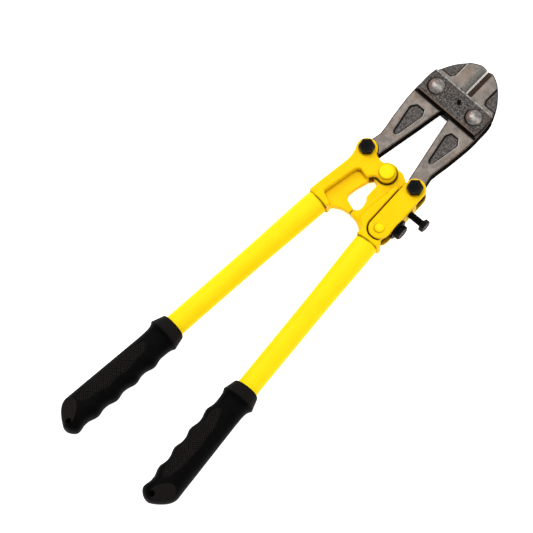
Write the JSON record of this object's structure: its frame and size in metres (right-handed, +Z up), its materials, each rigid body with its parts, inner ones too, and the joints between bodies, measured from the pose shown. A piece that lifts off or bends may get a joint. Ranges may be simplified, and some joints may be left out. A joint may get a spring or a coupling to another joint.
{
  "type": "bolt cutters",
  "caption": "Centre-cut bolt cutters: forged blades pivot between cover plates, worked by compound handles with tubular arms, rubber grips and an adjusting link.",
  "frame": {"origin": "centre of the footprint, on the surface the tool lies on", "axes": "+Y toward the jaws, +X toward the adjusting bolts, +Z up out of the flat of the tool; every hinge axis is along Z"},
  "size_m": [0.122, 0.4524, 0.0287],
  "materials": {
    "yellow_paint": "gloss yellow enamel over cast and tubular steel",
    "ground_steel": "forged steel with ground flats",
    "forged_black": "rough dark forged steel",
    "rivet_steel": "hammered steel rivet heads",
    "black_oxide": "black oxide fasteners",
    "black_rubber": "matte black moulded rubber"
  },
  "bodies": {
    "head": {"cover_plate_top": "forged_black", "cover_plate_bottom": "forged_black", "head_rivet_left": "rivet_steel", "head_rivet_right": "rivet_steel"},
    "blade_left": {"blade_left": "ground_steel"},
    "blade_right": {"blade_right": "ground_steel"},
    "handle_left": {"casting_left": "yellow_paint", "tube_left": "yellow_paint", "grip_left": "black_rubber", "tail_bolt_left": "black_oxide", "tail_nut_left": "black_oxide", "centre_bolt": "yellow_paint", "centre_nut": "yellow_paint"},
    "adjusting_link": {"adjusting_link": "yellow_paint", "tail_bolt_right": "black_oxide", "tail_nut_right": "black_oxide", "pull_bolt": "black_oxide", "pull_washer": "black_oxide"},
    "handle_right": {"casting_right": "yellow_paint", "tube_right": "yellow_paint", "grip_right": "black_rubber", "link_rivet": "yellow_paint"},
    "push_bolt": {"push_bolt": "black_oxide"}
  },
  "joints": [
    {"name": "handle_left_fold", "type": "hinge", "parent": "blade_left", "child": "handle_left", "pos_m": [-0.026, 0.1095, 0.0142], "axis": [0, 0, -1], "range_deg": [0, 53.33]},
    {"name": "handle_right_fold", "type": "hinge", "parent": "blade_right", "child": "adjusting_link", "pos_m": [0.026, 0.1095, 0.0142], "axis": [0, 0, 1], "range_deg": [0, 53.33]},
    {"name": "blade_left_swing", "type": "hinge", "parent": "head", "child": "blade_left", "pos_m": [-0.02, 0.186, 0.0142], "axis": [0, 0, 1], "range_deg": [0, 8.33]},
    {"name": "blade_right_swing", "type": "hinge", "parent": "head", "child": "blade_right", "pos_m": [0.02, 0.186, 0.0142], "axis": [0, 0, -1], "range_deg": [0, 8.33]},
    {"name": "link_adjust", "type": "hinge", "parent": "adjusting_link", "child": "handle_right", "pos_m": [0.0273, 0.06572, 0.0142], "axis": [0, 0, 1], "range_deg": [-0.8, 0.8]},
    {"name": "push_bolt_screw", "type": "slide", "parent": "adjusting_link", "child": "push_bolt", "axis": [0.9996, 0.0297, 0], "range_m": [-0.00039, 0.00039]}
  ],
  "couplings": [
    {"joint": "handle_right_fold", "follows": "handle_left_fold", "ratio": 1},
    {"joint": "blade_left_swing", "follows": "handle_left_fold", "ratio": 0.15624},
    {"joint": "blade_right_swing", "follows": "handle_left_fold", "ratio": 0.15624},
    {"joint": "push_bolt_screw", "follows": "link_adjust", "m_per_rad": -0.0273}
  ]
}
